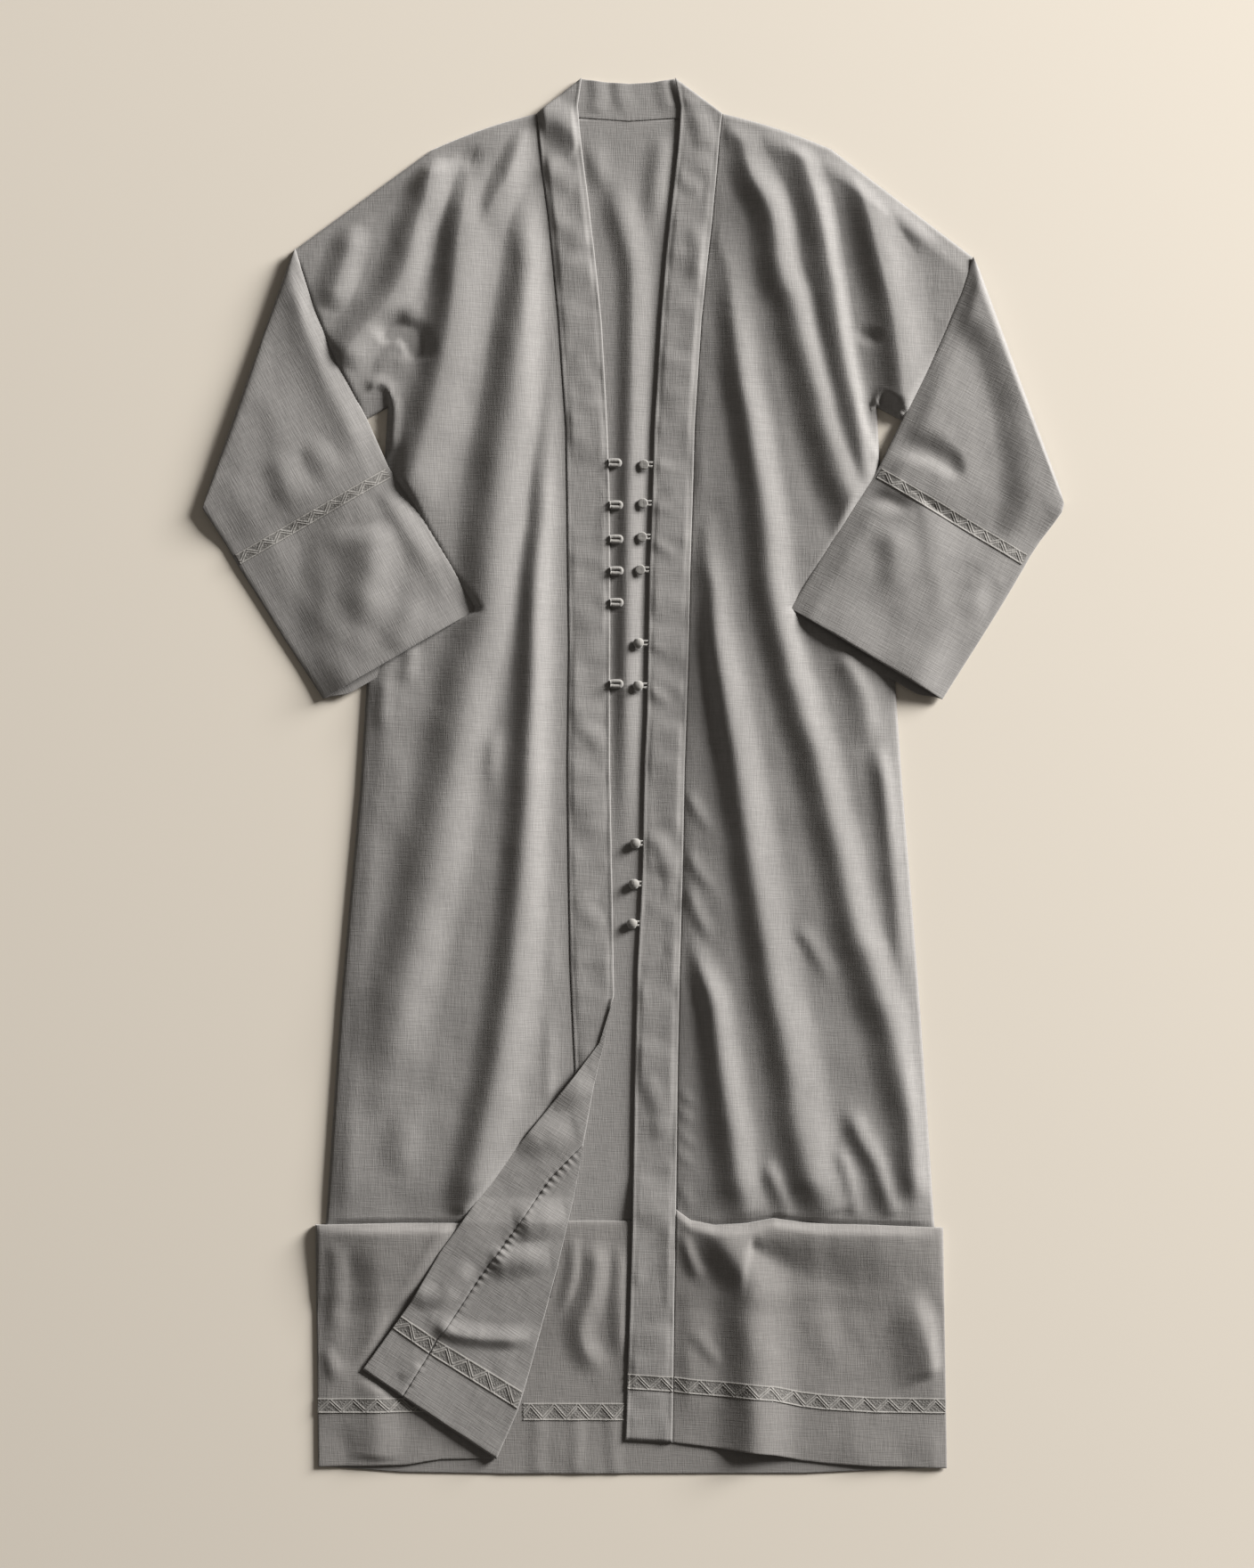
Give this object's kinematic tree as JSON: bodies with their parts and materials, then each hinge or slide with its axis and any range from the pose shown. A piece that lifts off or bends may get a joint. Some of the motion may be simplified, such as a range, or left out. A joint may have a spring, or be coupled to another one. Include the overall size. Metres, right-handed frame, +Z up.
{
  "type": "abaya",
  "caption": "Long open-front linen abaya laid flat, with folded kimono sleeves, front band, loops and buttons, zigzag borders and a turned-back hem corner.",
  "frame": {"origin": "middle of the laid outline, on the surface that the garment lies on", "axes": "+Z up from the surface, +Y along the back towards the neck, +X towards the wearer's left sleeve"},
  "size_m": [0.8694, 1.4094, 0.0103],
  "materials": {
    "linen": "matte grey linen, plain weave with slubs",
    "border": "raised tone-on-tone woven zigzag border",
    "button": "button covered in the same linen",
    "cord": "rolled linen cord"
  },
  "bodies": {
    "root": {"back_panel": "linen", "front_left": "linen", "front_right": "linen", "sleeve_left": "linen", "sleeve_right": "linen", "band_back": "linen", "band_left": "linen", "band_right": "linen", "hem_back": "linen", "hem_left": "linen", "hem_right": "linen", "corner_band": "linen", "corner_panel": "linen", "border_band": "border", "border_corner_band": "border", "border_corner_panel": "border", "border_hem_back": "border", "border_hem_left": "border", "border_hem_right": "border", "border_sleeve_left": "border", "border_sleeve_right": "border", "button_1": "button", "button_2": "button", "button_3": "button", "button_4": "button", "button_5": "button", "button_6": "button", "button_7": "button", "button_8": "button", "button_9": "button", "shank_1": "cord", "shank_2": "cord", "shank_3": "cord", "shank_4": "cord", "shank_5": "cord", "shank_6": "cord", "shank_7": "cord", "shank_8": "cord", "shank_9": "cord", "loop_1": "cord", "loop_2": "cord", "loop_3": "cord", "loop_4": "cord", "loop_5": "cord", "loop_6": "cord"}
  },
  "joints": []
}
